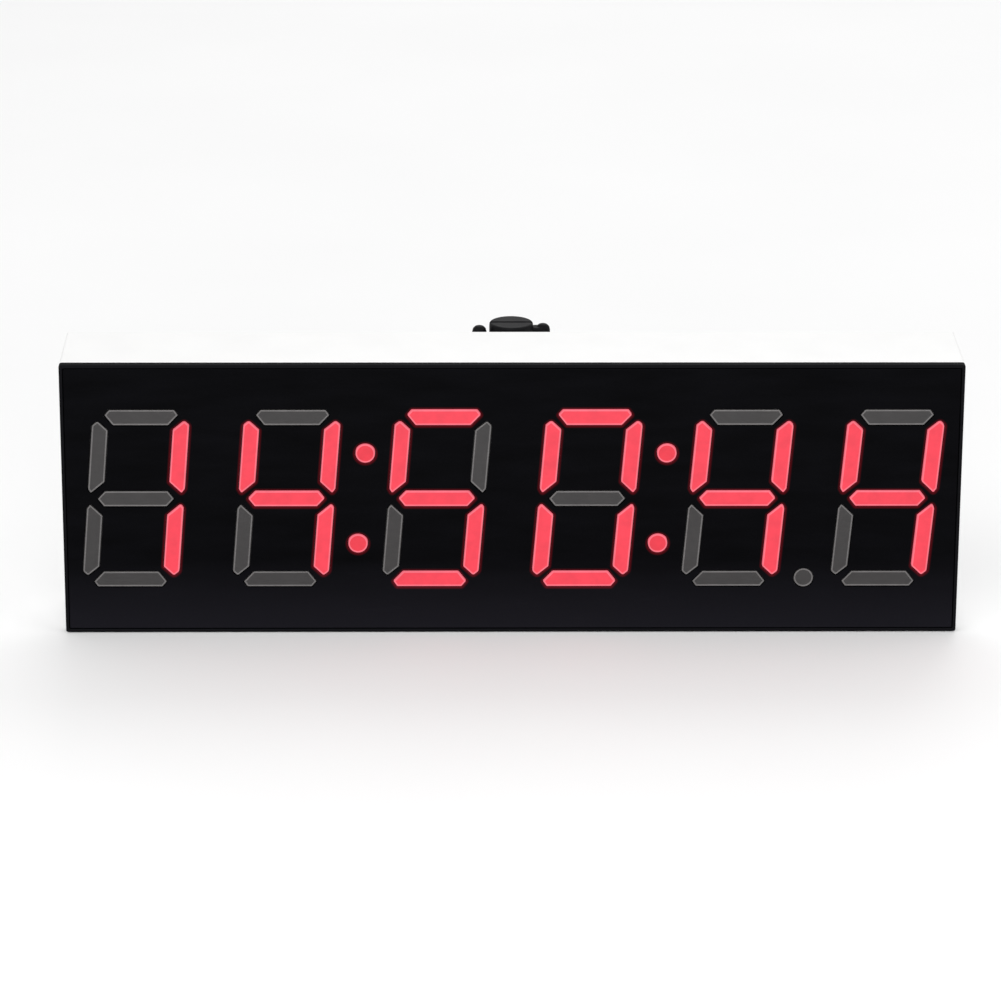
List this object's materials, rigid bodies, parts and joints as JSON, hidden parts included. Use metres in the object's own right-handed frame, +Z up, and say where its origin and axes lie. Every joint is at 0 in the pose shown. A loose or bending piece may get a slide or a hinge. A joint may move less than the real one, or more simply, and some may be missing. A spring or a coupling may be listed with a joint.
{
  "type": "gym round timer",
  "caption": "Slim gym round timer: long white case, gloss black face with slanted red segment digits and dots, rear buttons, pan and tilt wall bracket with a wing clamp knob.",
  "frame": {"origin": "on the case's flat base, under the middle of the case's width, 18 mm behind the front edge", "axes": "+Z up, the display face looks towards -Y, +X to the right as seen from the front"},
  "size_m": [0.28, 0.083, 0.088],
  "materials": {
    "bezel_black": "fine moulded satin black ABS",
    "face_black": "smooth gloss black mask with a faint bluish sheen",
    "lens_unlit": "smoked translucent diffuser, unlit grey",
    "lens_lit": "translucent diffuser, lit red",
    "reflector_white": "matt white light wells",
    "board_green": "solder-masked glass-epoxy board",
    "case_white": "white ABS with a fine moulded grain",
    "bracket_black": "glass-filled black nylon",
    "steel": "zinc-plated steel",
    "component_black": "moulded black component bodies",
    "metal_can": "plated metal cans",
    "button_grey": "dark grey silicone rubber",
    "ribbon_grey": "grey flat ribbon cable"
  },
  "bodies": {
    "housing": {"front_bezel": "bezel_black", "face_panel": "face_black", "digit_lens_1": "lens_unlit", "digit_lens_2": "lens_unlit", "digit_lens_3": "lens_unlit", "digit_lens_4": "lens_unlit", "digit_lens_5": "lens_unlit", "digit_lens_6": "lens_unlit", "point_lens": "lens_unlit", "colon_lens_left": "lens_lit", "colon_lens_right": "lens_lit", "reflector": "reflector_white", "led_board": "board_green", "control_board": "board_green", "housing_shell": "case_white", "rear_cover": "case_white", "swivel_block": "bracket_black", "led_board_screw_1": "steel", "led_board_screw_2": "steel", "led_board_screw_3": "steel", "led_board_screw_4": "steel", "case_screw_1": "steel", "case_screw_2": "steel", "case_screw_3": "steel", "case_screw_4": "steel", "case_screw_5": "steel", "case_screw_6": "steel", "control_board_screw_left": "steel", "control_board_screw_right": "steel", "block_screw_left": "steel", "block_screw_right": "steel", "led_driver": "component_black", "ir_receiver": "component_black", "mcu_chip": "component_black", "voltage_regulator": "component_black", "buzzer": "component_black", "dc_jack": "component_black", "coin_cell_holder": "component_black", "tact_switch_1": "component_black", "tact_switch_2": "component_black", "tact_switch_3": "component_black", "tact_switch_4": "component_black", "reservoir_capacitor": "metal_can", "power_switch": "metal_can", "coin_cell": "metal_can", "ribbon_cable": "ribbon_grey"},
    "swivel_arm": {"swivel_arm": "bracket_black", "pan_bolt": "steel", "clamp_washer": "steel"},
    "wing_knob": {"wing_knob": "bracket_black"},
    "wall_plate": {"wall_plate": "bracket_black", "tilt_bolt": "steel", "tilt_nut": "steel"},
    "power_slider": {"power_slider": "button_grey"},
    "button_1": {"button_cap_1": "button_grey"},
    "button_2": {"button_cap_2": "button_grey"},
    "button_3": {"button_cap_3": "button_grey"},
    "button_4": {"button_cap_4": "button_grey"}
  },
  "joints": [
    {"name": "pan", "type": "hinge", "parent": "housing", "child": "swivel_arm", "pos_m": [0.0003, 0.032, 0.0637], "axis": [0, 0, 1], "range_deg": [-45, 45]},
    {"name": "tilt", "type": "hinge", "parent": "swivel_arm", "child": "wall_plate", "pos_m": [0.0003, 0.052, 0.056], "axis": [1, 0, 0], "range_deg": [-35, 15]},
    {"name": "knob_turn", "type": "hinge", "parent": "swivel_arm", "child": "wing_knob", "pos_m": [0.0003, 0.032, 0.08], "axis": [0, 0, 1], "range_deg": [0, 180]},
    {"name": "press_1", "type": "slide", "parent": "housing", "child": "button_1", "axis": [0, -1, 0], "range_m": [0, 0.0005], "stiffness_N_per_m": 400},
    {"name": "press_2", "type": "slide", "parent": "housing", "child": "button_2", "axis": [0, -1, 0], "range_m": [0, 0.0005], "stiffness_N_per_m": 400},
    {"name": "press_3", "type": "slide", "parent": "housing", "child": "button_3", "axis": [0, -1, 0], "range_m": [0, 0.0005], "stiffness_N_per_m": 400},
    {"name": "press_4", "type": "slide", "parent": "housing", "child": "button_4", "axis": [0, -1, 0], "range_m": [0, 0.0005], "stiffness_N_per_m": 400},
    {"name": "power_slide", "type": "slide", "parent": "housing", "child": "power_slider", "axis": [1, 0, 0], "range_m": [0, 0.004]}
  ]
}
